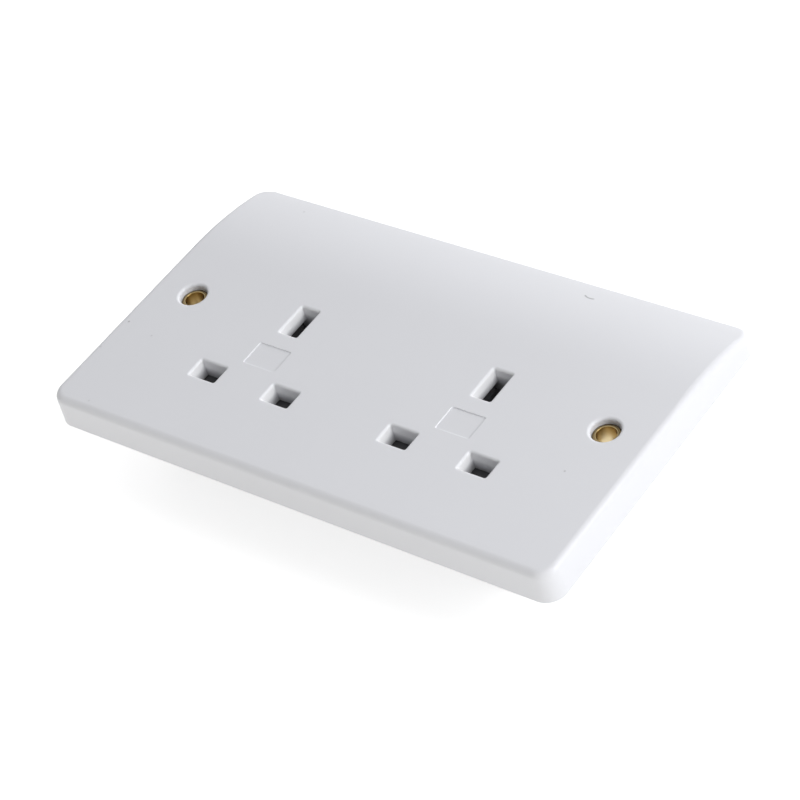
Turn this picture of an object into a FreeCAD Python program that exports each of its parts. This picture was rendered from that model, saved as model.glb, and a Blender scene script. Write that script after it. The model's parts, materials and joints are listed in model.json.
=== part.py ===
import FreeCAD, Part
import math
import os

V = FreeCAD.Vector

# A two-gang unswitched socket outlet for three rectangular pins, lying on its back, in millimetres.
# +X is to the right, +Y to the plate's top edge and +Z out of the face.
# The origin is under the middle of the plate, on the surface that the rear housing rests on.

# Faceplate
PLATE_W = 146.0
PLATE_H = 86.0
PLATE_T = 9.0
PLATE_CORNER_R = 4.8
PLATE_DRAFT = 0.4
PLATE_EDGE_R = 1.9
CROWN_START = 14.9
CROWN_R = 88.0
SIDE_WALL = 2.4
FACE_WALL = 3.0
RIM_CHAMFER = 0.35
RIB_T = 1.3
RIBS_PER_OUTLET = 3
RIB_CLEARANCE = 3.0
UPPER_RIB_LIFT = 1.5
LOWER_RIB_LIFT = 2.5
CROSS_RIB_DROP = 2.5
CROSS_RIB_INSET = 6.0

# Reach of a cutting tool past the surface that it opens
OVERRUN = 1.0

# Pin pattern: the earth pin stands above the middle of the line and neutral pins
OUTLET_SPACING = 56.6
PIN_PITCH = 22.23
PIN_LINE_Y = -20.5
PIN_THICK = 3.97
LINE_PIN_W = 6.35
EARTH_PIN_H = 7.97
LINE_PIN_LEN = 17.7
EARTH_PIN_LEN = 22.7

# Apertures in the face
APERTURE_GAP_T = 0.45
APERTURE_GAP_W = 0.5
APERTURE_LEAD = 0.25
APERTURE_LEAD_DEPTH = 2.2
APERTURE_LIP_R = 0.7
APERTURE_CORNER_R = 0.2
PAD_BORDER = 2.0
PAD_CORNER_R = 1.5
EARTH_PAD_RISE = 1.0
PROP_INSET = 3.0
GUIDE_HALF_W = 4.0

# Bare recess of the mould's insert between the apertures of each outlet
INSERT_W = 9.3
INSERT_H = 7.0
INSERT_DEPTH = 0.24
INSERT_Y = -11.2
INSERT_CORNER_R = 0.4
INSERT_LIP_R = 0.2

# Fixing holes and their eyelets
FIXING_INSET = 12.7
FIXING_Y = -0.4
COUNTERBORE_R = 3.45
COUNTERBORE_LIP_R = 0.85
EYELET_SINK = 1.5
EYELET_FLANGE_R = 3.35
EYELET_FLANGE_T = 0.9
EYELET_RIM_ROUND = 0.2
EYELET_BEAD_R = 0.27
EYELET_BEAD_RISE = 0.15
EYELET_CREST_R = 2.62
EYELET_BARREL_R = 2.75
EYELET_FLARE_R = 3.3
EYELET_FLARE_T = 0.4
EYELET_FOOT_CHAMFER = 0.3
FIXING_BOSS_R = 5.6

# Rear housing
HOUSING_RISE = 0.6
CENTRE_HALF_W = 40.0
HOUSING_WALL = 1.6
HOUSING_FLOOR = 2.0
HOUSING_CORNER_R = 3.0
HOUSING_FOOT_CHAMFER = 0.5
PARTITION_T = 1.4
PEDESTAL_HALF = 2.0
EARTH_PEDESTAL_HALF_W = 1.5
EARTH_PEDESTAL_HALF_L = 3.0
SCREW_TUBE_WALL = 1.0
ROOM_GAP = 0.3
LOWER_ROOM = 2.1
CONDUCTOR_ROOM = 2.1
TERMINAL_SIDE_GAP = 0.1

# Contact cover and shutters
COVER_T = 1.6
COVER_SLOT_GAP = 0.4
SHUTTER_T = 1.4
SLIDE_GAP = 0.2
SHUTTER_TRAVEL = 6.2
SHUTTER_HALF_W = 15.6
SHUTTER_WINDOW_GAP = 0.6
SHUTTER_OVERLAP = 1.2
SHUTTER_BAR = 2.0
SHUTTER_NECK_HALF_W = 4.5
RAMP_HALF_W = 2.1
RAMP_DROP = 6.0
RAMP_TOE = 0.6
RAMP_CREST = 1.2
PIN_CLEARANCE = 0.15
RAIL_T = 1.4
RAIL_INSET = 0.5
RAIL_OVERRUN = 1.0
STOP_T = 1.2
STOP_GAP = 0.6

# Shutter springs
SPRING_R = 0.95
SPRING_WIRE = 0.35
SPRING_TURNS = 6
SPRING_POST_T = 1.4
SPRING_POST_HALF_W = 1.5
SPRING_SLOT_HALF_W = 1.9
SPRING_CLOSED = 3.2

# Contacts, strips and terminals
SHEET_T = 0.6
SHEET_BEND_R = 0.65
STRIP_T = 0.8
STRIP_BEND_R = 1.2
STRIP_LIFT = 1.0
STRIP_H = 5.0
TAB_SHORTFALL = 0.5
CONTACT_W = 6.0
EARTH_CONTACT_W = 7.0
CONTACT_PINCH = 3.6
CONTACT_MOUTH = 5.4
CONTACT_FOOT = 4.4
LEAF_FOOT_H = 3.0
FLARE_H = 1.8
CONTACT_HEADROOM = 1.0
RAMP_HEADROOM = 1.5
PIN_TIP_GAP = 0.7
EARTH_TIP_GAP = 0.5
EARTH_FOOT_GAP = 0.2
LINE_STRIP_DROP = 5.9
NEUTRAL_STRIP_RISE = 5.9
EARTH_STRIP_RISE = 6.67
STRIP_END = 3.2
LEG_GAP = 1.7
LEG_SETBACK = 0.4
TERMINAL_W = 7.4
TERMINAL_L = 8.6
TERMINAL_H = 8.6
TERMINAL_CORNER_R = 0.6
WIRE_WAY = 5.2
WIRE_WAY_CORNER_R = 1.0
TERMINAL_ROOF = 1.4
TERMINAL_RISE = 4.5
EARTH_TERMINAL_X = 8.0
WIRE_ENTRY_GAP = 0.4

# Terminal screws
SCREW_SHANK_R = 1.95
SCREW_HEAD_R = 3.0
SCREW_HEAD_T = 2.2
SCREW_TRAVEL = 3.2
SCREW_SLOT_W = 0.9
SCREW_SLOT_D = 1.1
SCREW_POINT = 0.4
SCREW_SINK = 0.7
SCREW_STOP = 0.1
THREAD_GAP = 0.05
HEAD_GAP = 0.4

# Earth straps
STRAP_T = 0.6
STRAP_W = 4.4
STRAP_END_R = 4.2
STRAP_TAB_INSET = 5.0
STRAP_TAB_W = 5.0
STRAP_TAB_DROP = 8.0
STRAP_BEND_R = 0.55
STRAP_GAP = 0.2

# Housing screws
TOP_SCREW_INSET = 4.5
TOP_SCREW_DROP = 4.2
MIDDLE_SCREW_Y = -3.2
FIX_SHANK_R = 1.45
FIX_HEAD_R = 2.7
FIX_HEAD_T = 1.9
FIX_RECESS = 1.0
FIX_GRIP = 4.0
FIX_CLEARANCE = 0.25
FIX_TIP_ROOM = 0.4
FIX_HEAD_ROUND = 0.5
FIX_CROSS_REACH = 1.7
FIX_CROSS_HALF_W = 0.4
FIX_CROSS_D = 1.1
PILLAR_R = 3.2

# Heights and places that follow from the sizes above
FIXING_SPACING = PLATE_W - 2 * FIXING_INSET
HALF_PITCH = PIN_PITCH / 2
EYELET_BORE_R = EYELET_CREST_R - EYELET_BEAD_R
EARTH_PIN_Y = PIN_LINE_Y + PIN_PITCH
RIM_Z = HOUSING_FLOOR + EARTH_FOOT_GAP + SHEET_T + EARTH_TIP_GAP + EARTH_PIN_LEN - PLATE_T
FACE_Z = RIM_Z + PLATE_T
CEILING_Z = FACE_Z - FACE_WALL
COVER_Z = RIM_Z + HOUSING_RISE
COVER_TOP = COVER_Z + COVER_T
SHUTTER_Z = COVER_TOP + SLIDE_GAP
SHUTTER_TOP = SHUTTER_Z + SHUTTER_T
LINE_PAD_Z = SHUTTER_TOP + SLIDE_GAP
EARTH_PAD_Z = LINE_PAD_Z + EARTH_PAD_RISE
RAMP_TOP = EARTH_PAD_Z - SLIDE_GAP
RAMP_LOW = RAMP_TOP - RAMP_DROP
OUTLETS = (("left", -OUTLET_SPACING / 2), ("right", OUTLET_SPACING / 2))
SIDES = (("left", -1), ("right", 1))
STRAP_Z = COVER_Z
EYELET_SEAT_Z = FACE_Z - EYELET_SINK - EYELET_FLANGE_T
SHUTTER_NORTH = EARTH_PIN_Y - EARTH_PIN_H / 2 - PIN_CLEARANCE + SHUTTER_TRAVEL
RAMP_SOUTH = SHUTTER_NORTH - SHUTTER_TRAVEL - RAMP_CREST
WINDOW_SOUTH = PIN_LINE_Y - PIN_THICK / 2 - SHUTTER_WINDOW_GAP + SHUTTER_TRAVEL
WINDOW_NORTH = PIN_LINE_Y + PIN_THICK / 2 + SHUTTER_WINDOW_GAP + SHUTTER_TRAVEL
SHUTTER_SOUTH = PIN_LINE_Y - PIN_THICK / 2 - APERTURE_GAP_T - SHUTTER_OVERLAP
MAIN_NORTH = WINDOW_NORTH + SHUTTER_BAR
SPRING_NORTH = RAMP_SOUTH
SPRING_SOUTH = SPRING_NORTH - SHUTTER_TRAVEL - SPRING_CLOSED
SPRING_Z = SHUTTER_Z + SPRING_R + SPRING_WIRE / 2
LINE_STRIP_Y = PIN_LINE_Y - LINE_STRIP_DROP
EARTH_STRIP_Y = EARTH_PIN_Y + EARTH_STRIP_RISE
NEUTRAL_STRIP_Y = PIN_LINE_Y + NEUTRAL_STRIP_RISE
LINE_WEB_Z = FACE_Z - LINE_PIN_LEN - PIN_TIP_GAP - SHEET_T
EARTH_WEB_Z = FACE_Z - EARTH_PIN_LEN - EARTH_TIP_GAP - SHEET_T
LINE_CONTACT_TOP = COVER_Z - CONTACT_HEADROOM
EARTH_CONTACT_TOP = RAMP_LOW - RAMP_TOE - RAMP_HEADROOM
STRIP_Z = LINE_WEB_Z + STRIP_LIFT
LEG_X = OUTLET_SPACING / 2 + HALF_PITCH + CONTACT_W / 2 + LEG_GAP + STRIP_T / 2
TERMINAL_X = LEG_X + STRIP_T / 2 + TERMINAL_W / 2
TERMINAL_Y = PIN_LINE_Y + TERMINAL_RISE
TERMINAL_Z = SCREW_SINK + SCREW_HEAD_T + SCREW_STOP + SCREW_TRAVEL
WIRE_WAY_Z = TERMINAL_Z + TERMINAL_H - TERMINAL_ROOF - WIRE_WAY / 2
EARTH_TERMINAL_Y = EARTH_STRIP_Y + STRIP_T / 2 + TERMINAL_L / 2
HOUSING_HALF_W = TERMINAL_X + TERMINAL_W / 2 + TERMINAL_SIDE_GAP + HOUSING_WALL
HOUSING_LOW_Y = LINE_STRIP_Y - STRIP_T / 2 - LOWER_ROOM - HOUSING_WALL
HOUSING_HIGH_Y = EARTH_TERMINAL_Y + TERMINAL_L / 2 + HOUSING_WALL
SHOULDER_Y = TERMINAL_Y + TERMINAL_L / 2 + CONDUCTOR_ROOM + HOUSING_WALL
TOP_SCREW_X = CENTRE_HALF_W - TOP_SCREW_INSET
TOP_SCREW_Y = HOUSING_HIGH_Y - TOP_SCREW_DROP
STRAP_TAB_X = CENTRE_HALF_W - STRAP_TAB_INSET
TERMINALS = (
    ("line_terminal", TERMINAL_X, TERMINAL_Y, SHOULDER_Y),
    ("neutral_terminal", -TERMINAL_X, TERMINAL_Y, SHOULDER_Y),
    ("earth_terminal_left", -EARTH_TERMINAL_X, EARTH_TERMINAL_Y, HOUSING_HIGH_Y),
    ("earth_terminal_right", EARTH_TERMINAL_X, EARTH_TERMINAL_Y, HOUSING_HIGH_Y),
)
HOUSING_SCREWS = (
    (-TOP_SCREW_X, TOP_SCREW_Y),
    (TOP_SCREW_X, TOP_SCREW_Y),
    (0.0, MIDDLE_SCREW_Y),
    (0.0, PIN_LINE_Y),
)


def line(start, end):
    return Part.LineSegment(start, end).toShape()


def slab(x0, x1, y0, y1, z0, z1):
    return Part.makeBox(x1 - x0, y1 - y0, z1 - z0, V(x0, y0, z0))


def rod(x, y, z0, z1, radius):
    return Part.makeCylinder(radius, z1 - z0, V(x, y, z0))


def rounded_outline(cx, cy, width, height, radius, z):
    """Closed outline of a rectangle with round corners, level at height z."""
    arcs = []
    for k, (sx, sy) in enumerate(((1, 1), (-1, 1), (-1, -1), (1, -1))):
        centre = V(cx + sx * (width / 2 - radius), cy + sy * (height / 2 - radius), z)
        angles = [math.radians(90 * k + step) for step in (0, 45, 90)]
        arcs.append([centre + V(radius * math.cos(a), radius * math.sin(a), 0) for a in angles])
    edges = []
    for k, (start, middle, end) in enumerate(arcs):
        edges.append(Part.Arc(start, middle, end).toShape())
        edges.append(line(end, arcs[(k + 1) % 4][0]))
    return Part.Wire(edges)


def rounded_slab(cx, cy, width, height, radius, z0, z1):
    face = Part.Face(rounded_outline(cx, cy, width, height, radius, z0))
    return face.extrude(V(0, 0, z1 - z0))


def tapered_slab(cx, cy, low, high, z0, z1):
    """Solid between two rounded rectangles, each given as (width, height, corner radius)."""
    outlines = [rounded_outline(cx, cy, *low, z0), rounded_outline(cx, cy, *high, z1)]
    return Part.makeLoft(outlines, True, True)


def yz_prism(points, x0, x1):
    corners = [V(x0, y, z) for y, z in points]
    return Part.Face(Part.makePolygon(corners + corners[:1])).extrude(V(x1 - x0, 0, 0))


def bent_outline(path, thickness):
    """Corners of a strip of even thickness whose middle line is an open path in a plane."""
    sides = ([], [])
    for i, (px, py) in enumerate(path):
        normals = []
        for a, b in ((i - 1, i), (i, i + 1)):
            if a >= 0 and b < len(path):
                dx = path[b][0] - path[a][0]
                dy = path[b][1] - path[a][1]
                length = math.hypot(dx, dy)
                normals.append((-dy / length, dx / length))
        nx = sum(n[0] for n in normals)
        ny = sum(n[1] for n in normals)
        stretch = thickness / (nx * normals[0][0] + ny * normals[0][1])
        reach = stretch / 2
        sides[0].append((px + nx * reach, py + ny * reach))
        sides[1].append((px - nx * reach, py - ny * reach))
    return sides[0] + sides[1][::-1]


def bend_points(before, corner, after, bend, reach):
    """Start, middle and end of the arc at a corner, on the line reach to the left of the middle line."""
    into = (corner - before).normalize()
    out = (after - corner).normalize()
    hand = 1 if into.cross(out).z > 0 else -1
    starts = V(-into.y, into.x, 0) * hand
    ends = V(-out.y, out.x, 0) * hand
    centre = corner - into * bend * math.tan(into.getAngle(out) / 2) + starts * bend
    return [centre - inward * (bend - hand * reach) for inward in (starts, (starts + ends).normalize(), ends)]


def strip_side(points, bend, reach):
    """One side of a bent strip: its two end points, and three points for each bend between them."""
    first = (points[1] - points[0]).normalize()
    last = (points[-1] - points[-2]).normalize()
    side = [[points[0] + V(-first.y, first.x, 0) * reach]]
    for before, corner, after in zip(points, points[1:], points[2:]):
        side.append(bend_points(before, corner, after, bend, reach))
    return side + [[points[-1] + V(-last.y, last.x, 0) * reach]]


def strip_face(path, thickness, bend, place):
    """Section of a strip of even thickness: straight runs along a path, joined by arcs tangent to them."""
    points = [V(a, b, 0) for a, b in path]
    back = strip_side(points, bend, -thickness / 2)
    around = strip_side(points, bend, thickness / 2) + [spots[::-1] for spots in back[::-1]]
    edges = []
    for k, spots in enumerate(around):
        placed = [place(spot.x, spot.y) for spot in spots]
        if len(placed) == 3:
            edges.append(Part.Arc(*placed).toShape())
        following = around[(k + 1) % len(around)][0]
        edges.append(line(placed[-1], place(following.x, following.y)))
    return Part.Face(Part.Wire(edges))


def yz_strip(path, x0, x1):
    """Sheet bent along a path across X."""
    face = strip_face(path, SHEET_T, SHEET_BEND_R, lambda y, z: V(x0, y, z))
    return face.extrude(V(x1 - x0, 0, 0))


def upright_room(path, thickness, z0, z1):
    """Room for a strip on edge, with square corners in plan."""
    corners = [V(x, y, z0) for x, y in bent_outline(path, thickness)]
    return Part.Face(Part.makePolygon(corners + corners[:1])).extrude(V(0, 0, z1 - z0))


def fuse_all(shapes):
    return shapes[0].multiFuse(shapes[1:]) if len(shapes) > 1 else shapes[0]


# Faceplate

def under_face(sink, z0):
    """Everything under the face line sunk by sink: flat, then an arc down to the top edge."""
    reach = PLATE_H
    radius = CROWN_R - sink
    top = FACE_Z - sink
    centre_z = FACE_Z - CROWN_R
    end = PLATE_H / 2 + SIDE_WALL
    points = []
    for y in (CROWN_START, (CROWN_START + end) / 2, end):
        points.append(V(-reach, y, centre_z + math.sqrt(radius ** 2 - (y - CROWN_START) ** 2)))
    edges = [
        line(V(-reach, -end, top), points[0]),
        Part.Arc(*points).toShape(),
        line(points[2], V(-reach, end, z0)),
        line(V(-reach, end, z0), V(-reach, -end, z0)),
        line(V(-reach, -end, z0), V(-reach, -end, top)),
    ]
    return Part.Face(Part.Wire(edges)).extrude(V(2 * reach, 0, 0))


def plate_block(inset):
    """Drafted block between the rim and above the face, its outline drawn in by inset."""
    low = (PLATE_W - 2 * inset, PLATE_H - 2 * inset, PLATE_CORNER_R - inset)
    high = [size - 2 * PLATE_DRAFT for size in low[:2]] + [low[2] - PLATE_DRAFT]
    return tapered_slab(0, 0, low, high, RIM_Z, FACE_Z)


def face_height(y):
    if y <= CROWN_START:
        return FACE_Z
    return FACE_Z - CROWN_R + math.sqrt(CROWN_R ** 2 - (y - CROWN_START) ** 2)


def outer_form():
    block = plate_block(0).common(under_face(0, RIM_Z))
    edge_zone = (PLATE_W / 2 - PLATE_CORNER_R, PLATE_H / 2 - PLATE_CORNER_R)
    face_edges = []
    for edge in block.Edges:
        spot = edge.valueAt((edge.FirstParameter + edge.LastParameter) / 2)
        on_face = abs(spot.z - face_height(spot.y)) < 0.01
        if on_face and (abs(spot.x) > edge_zone[0] or abs(spot.y) > edge_zone[1]):
            face_edges.append(edge)
    rounded = block.makeFillet(PLATE_EDGE_R, face_edges)
    rim = [e for e in rounded.Edges if abs(e.BoundBox.ZMax - RIM_Z) < 0.001]
    return rounded.makeChamfer(RIM_CHAMFER, rim)


def aperture_sizes():
    """Middle, width, height and depth of each aperture's throat, for both outlets."""
    sizes = []
    for _, outlet_x in OUTLETS:
        width = LINE_PIN_W + 2 * APERTURE_GAP_W
        height = PIN_THICK + 2 * APERTURE_GAP_T
        for side in (-1, 1):
            sizes.append((outlet_x + side * HALF_PITCH, PIN_LINE_Y, width, height, LINE_PAD_Z))
        width = PIN_THICK + 2 * APERTURE_GAP_T
        height = EARTH_PIN_H + 2 * APERTURE_GAP_W
        sizes.append((outlet_x, EARTH_PIN_Y, width, height, EARTH_PAD_Z))
    return sizes


def aperture_cut(x, y, width, height, pad_z):
    throat = (width, height, APERTURE_CORNER_R)
    mouth = (width + 2 * APERTURE_LEAD, height + 2 * APERTURE_LEAD, APERTURE_CORNER_R + APERTURE_LEAD)
    lead_z = FACE_Z - APERTURE_LEAD_DEPTH
    straight = rounded_slab(x, y, *throat, pad_z - OVERRUN, lead_z)
    lead = tapered_slab(x, y, throat, mouth, lead_z, FACE_Z)
    return straight.fuse(lead)


def insert_recess(outlet_x):
    return rounded_slab(outlet_x, INSERT_Y, INSERT_W, INSERT_H, INSERT_CORNER_R,
                        FACE_Z - INSERT_DEPTH, FACE_Z + OVERRUN)


def inside_forms():
    """Pads round the apertures, bosses, pillars and ribs that hang from the inside of the face."""
    root = CEILING_Z + FACE_WALL / 2
    forms = []
    for x, y, width, height, pad_z in aperture_sizes():
        border = 2 * PAD_BORDER
        forms.append(rounded_slab(x, y, width + border, height + border, PAD_CORNER_R, pad_z, root))
    for _, side in SIDES:
        forms.append(rod(side * FIXING_SPACING / 2, FIXING_Y, STRAP_Z + STRAP_T, root, FIXING_BOSS_R))
        prop_x = side * (TERMINAL_X + RIB_T)
        forms.append(slab(prop_x - RIB_T / 2, prop_x + RIB_T / 2, HOUSING_LOW_Y + PROP_INSET,
                          SHOULDER_Y - PROP_INSET, COVER_TOP, root))
    for x, y in HOUSING_SCREWS:
        forms.append(rod(x, y, COVER_TOP, root, PILLAR_R))
    for _, outlet_x in OUTLETS:
        guide_y = EARTH_PIN_Y + EARTH_PIN_H / 2 + APERTURE_GAP_W
        forms.append(slab(outlet_x - GUIDE_HALF_W, outlet_x + GUIDE_HALF_W, guide_y, guide_y + RIB_T,
                          COVER_TOP, root))
    return forms


def stiffening_ribs():
    """Ribs behind the roll-off, from the top wall down to the housing, and along the lower wall."""
    ribs = []
    inner_y = PLATE_H / 2 - SIDE_WALL / 2
    upper_y = HOUSING_HIGH_Y + RIB_CLEARANCE
    lower_y = HOUSING_LOW_Y - RIB_CLEARANCE
    for k in range(-RIBS_PER_OUTLET, RIBS_PER_OUTLET + 1):
        x0 = k * OUTLET_SPACING / RIBS_PER_OUTLET - RIB_T / 2
        x1 = x0 + RIB_T
        ribs.append(slab(x0, x1, upper_y, inner_y, RIM_Z + UPPER_RIB_LIFT, FACE_Z))
        ribs.append(slab(x0, x1, -inner_y, lower_y, RIM_Z + LOWER_RIB_LIFT, FACE_Z))
    end_x = PLATE_W / 2 - CROSS_RIB_INSET
    ribs.append(slab(-end_x, end_x, upper_y, upper_y + RIB_T, CEILING_Z - CROSS_RIB_DROP, FACE_Z))
    return [rib.common(under_face(FACE_WALL / 2, RIM_Z)) for rib in ribs]


def faceplate():
    cavity = plate_block(SIDE_WALL).common(under_face(FACE_WALL, RIM_Z))
    body = outer_form().cut(cavity)
    body = body.multiFuse(inside_forms() + stiffening_ribs()).removeSplitter()
    cuts = [aperture_cut(*size) for size in aperture_sizes()]
    for _, side in SIDES:
        x = side * FIXING_SPACING / 2
        cuts.append(rod(x, FIXING_Y, RIM_Z, FACE_Z, EYELET_BARREL_R + THREAD_GAP))
        cuts.append(rod(x, FIXING_Y, EYELET_SEAT_Z, FACE_Z + OVERRUN, COUNTERBORE_R))
    pilot_top = COVER_TOP + FIX_GRIP + FIX_TIP_ROOM
    for x, y in HOUSING_SCREWS:
        cuts.append(rod(x, y, COVER_TOP - OVERRUN, pilot_top, FIX_SHANK_R + THREAD_GAP))
    body = body.cut(fuse_all(cuts))
    body = round_mouths(body)
    edges = []
    for _, outlet_x in OUTLETS:
        body = body.cut(insert_recess(outlet_x))
    for _, outlet_x in OUTLETS:
        edges += edges_round(body, outlet_x, INSERT_Y, INSERT_W / 2 + OVERRUN, INSERT_H / 2 + OVERRUN)
    return body.makeFillet(INSERT_LIP_R, edges)


def edges_round(body, x, y, reach_x, reach_y):
    """Edges of the body that lie in the face within reach of a middle point."""
    found = []
    for edge in body.Edges:
        box = edge.BoundBox
        near_x = max(abs(box.XMin - x), abs(box.XMax - x)) < reach_x
        near_y = max(abs(box.YMin - y), abs(box.YMax - y)) < reach_y
        if box.ZMin > FACE_Z - 0.001 and near_x and near_y:
            found.append(edge)
    return found


def round_mouths(body):
    """Round the edge of every aperture and counterbore where it meets the face."""
    slots = []
    for x, y, width, height, _ in aperture_sizes():
        slots += edges_round(body, x, y, width / 2 + OVERRUN, height / 2 + OVERRUN)
    body = body.makeFillet(APERTURE_LIP_R, slots)
    rings = []
    for _, side in SIDES:
        reach = COUNTERBORE_R + OVERRUN
        rings += edges_round(body, side * FIXING_SPACING / 2, FIXING_Y, reach, reach)
    return body.makeFillet(COUNTERBORE_LIP_R, rings)


def arc_points(centre_r, centre_z, radius, start, end):
    """Start, middle and end of an arc in the plane of a turned section, its angles in degrees."""
    angles = [math.radians(a) for a in (start, (start + end) / 2, end)]
    return [V(centre_r + radius * math.cos(a), 0, centre_z + radius * math.sin(a)) for a in angles]


def eyelet(side):
    """Hollow brass eyelet: a flat flange with a bead round the bore, and a foot flared under the strap."""
    top = FACE_Z - EYELET_SINK
    flat = top - EYELET_BEAD_RISE
    foot = STRAP_Z - EYELET_FLARE_T
    bead_end = math.degrees(math.asin(1 - EYELET_BEAD_RISE / EYELET_BEAD_R))
    rim_r = EYELET_FLANGE_R - EYELET_RIM_ROUND
    bead = arc_points(EYELET_CREST_R, top - EYELET_BEAD_R, EYELET_BEAD_R, bead_end, 180)
    rim = arc_points(rim_r, flat - EYELET_RIM_ROUND, EYELET_RIM_ROUND, 0, 90)
    path = [bead[2], V(EYELET_BORE_R, 0, foot + EYELET_FOOT_CHAMFER),
            V(EYELET_BORE_R + EYELET_FOOT_CHAMFER, 0, foot), V(EYELET_FLARE_R, 0, foot),
            V(EYELET_FLARE_R, 0, STRAP_Z), V(EYELET_BARREL_R, 0, STRAP_Z),
            V(EYELET_BARREL_R, 0, EYELET_SEAT_Z), V(EYELET_FLANGE_R, 0, EYELET_SEAT_Z), rim[0]]
    edges = [line(a, b) for a, b in zip(path, path[1:])]
    edges += [Part.Arc(*rim).toShape(), line(rim[2], bead[0]), Part.Arc(*bead).toShape()]
    solid = Part.Face(Part.Wire(edges)).revolve(V(0, 0, 0), V(0, 0, 1), 360)
    solid.translate(V(side * FIXING_SPACING / 2, FIXING_Y, 0))
    return solid


# Rear housing and contact cover

def housing_outline(inset, z0, z1):
    """Wide lower part with the terminals at its ends, and a narrower upper part between the lugs."""
    radius = max(HOUSING_CORNER_R - inset, 0.5)
    low_y = HOUSING_LOW_Y + inset
    wide_top = SHOULDER_Y - inset
    high_y = HOUSING_HIGH_Y - inset
    wide = rounded_slab(0, (low_y + wide_top) / 2, 2 * (HOUSING_HALF_W - inset), wide_top - low_y,
                        radius, z0, z1)
    centre = rounded_slab(0, (low_y + high_y) / 2, 2 * (CENTRE_HALF_W - inset), high_y - low_y,
                          radius, z0, z1)
    return wide.fuse(centre).removeSplitter()


def partitions():
    """Upright walls between the compartments of the three poles."""
    half = PARTITION_T / 2
    wall = HOUSING_WALL / 2
    walls = [slab(-CENTRE_HALF_W + wall, CENTRE_HALF_W - wall, SHOULDER_Y - half, SHOULDER_Y + half,
                  HOUSING_FLOOR / 2, COVER_Z)]
    for _, outlet_x in OUTLETS:
        walls.append(slab(outlet_x - half, outlet_x + half, HOUSING_LOW_Y + wall, SHOULDER_Y,
                          HOUSING_FLOOR / 2, COVER_Z))
    return walls


def pedestals():
    """Blocks on the housing's floor that carry the contacts and the terminals."""
    blocks = []
    for _, outlet_x in OUTLETS:
        for side in (-1, 1):
            x = outlet_x + side * HALF_PITCH
            blocks.append(slab(x - PEDESTAL_HALF, x + PEDESTAL_HALF, PIN_LINE_Y - PEDESTAL_HALF,
                               PIN_LINE_Y + PEDESTAL_HALF, HOUSING_FLOOR / 2, LINE_WEB_Z))
        blocks.append(slab(outlet_x - EARTH_PEDESTAL_HALF_W, outlet_x + EARTH_PEDESTAL_HALF_W,
                           EARTH_PIN_Y - EARTH_PEDESTAL_HALF_L, EARTH_PIN_Y + EARTH_PEDESTAL_HALF_L,
                           HOUSING_FLOOR / 2, EARTH_WEB_Z))
    for _, x, y, _ in TERMINALS:
        outer = SCREW_HEAD_R + HEAD_GAP + SCREW_TUBE_WALL
        blocks.append(rod(x, y, HOUSING_FLOOR / 2, TERMINAL_Z, outer))
    return blocks


def strip_room():
    """Room through the partitions for the strips, the ramps and the lines of the contacts' feet."""
    gap = ROOM_GAP
    low = STRIP_Z - gap
    room = []
    for path in strip_paths().values():
        room.append(upright_room(path, STRIP_T + 2 * SHEET_T + 4 * gap, low, COVER_Z + OVERRUN))
    for _, outlet_x in OUTLETS:
        south = RAMP_SOUTH - SHUTTER_TRAVEL - gap
        room.append(slab(outlet_x - RAMP_HALF_W - gap, outlet_x + RAMP_HALF_W + gap, south,
                         EARTH_PIN_Y, RAMP_LOW - RAMP_TOE - gap, COVER_Z + OVERRUN))
    return room


def rear_housing():
    block = housing_outline(0, 0, COVER_Z)
    foot = [e for e in block.Edges if abs(e.BoundBox.ZMax) < 0.001]
    block = block.makeChamfer(HOUSING_FOOT_CHAMFER, foot)
    shell = block.cut(housing_outline(HOUSING_WALL, HOUSING_FLOOR, COVER_Z + OVERRUN))
    inner = partitions() + pedestals()
    tubes = [rod(x, y, HOUSING_FLOOR / 2, COVER_Z, PILLAR_R) for x, y in HOUSING_SCREWS]
    walls = fuse_all(inner).cut(fuse_all(strip_room()))
    body = shell.fuse(walls).multiFuse(tubes).removeSplitter()
    cuts = []
    for x, y in HOUSING_SCREWS:
        cuts.append(rod(x, y, -OVERRUN, FIX_RECESS + FIX_HEAD_T, FIX_HEAD_R + FIX_CLEARANCE))
        cuts.append(rod(x, y, -OVERRUN, COVER_Z + OVERRUN, FIX_SHANK_R + FIX_CLEARANCE))
    for _, x, y, wall_y in TERMINALS:
        cuts.append(rod(x, y, -OVERRUN, TERMINAL_Z + OVERRUN, SCREW_HEAD_R + HEAD_GAP))
        side = WIRE_WAY + 2 * WIRE_ENTRY_GAP
        cuts.append(slab(x - side / 2, x + side / 2, y, wall_y + OVERRUN,
                         WIRE_WAY_Z - side / 2, WIRE_WAY_Z + side / 2))
    return body.cut(fuse_all(cuts))


def shutter_rails(outlet_x):
    rails = []
    for side in (-1, 1):
        middle = outlet_x + side * (SHUTTER_HALF_W + SLIDE_GAP + RAIL_T / 2)
        rails.append(slab(middle - RAIL_T / 2, middle + RAIL_T / 2, HOUSING_LOW_Y + RAIL_INSET,
                          MAIN_NORTH + RAIL_OVERRUN, COVER_TOP, SHUTTER_TOP))
        stop = outlet_x + side * (SHUTTER_NECK_HALF_W + RAMP_HALF_W + STOP_GAP) / 2
        stop_half = (SHUTTER_NECK_HALF_W - RAMP_HALF_W - STOP_GAP) / 2
        rails.append(slab(stop - stop_half, stop + stop_half, SHUTTER_NORTH, SHUTTER_NORTH + STOP_T,
                          COVER_TOP, SHUTTER_TOP))
    return rails


def spring_post(outlet_x):
    return slab(outlet_x - SPRING_POST_HALF_W, outlet_x + SPRING_POST_HALF_W,
                SPRING_SOUTH - SPRING_POST_T, SPRING_SOUTH, COVER_TOP, SPRING_Z + SPRING_R)


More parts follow.
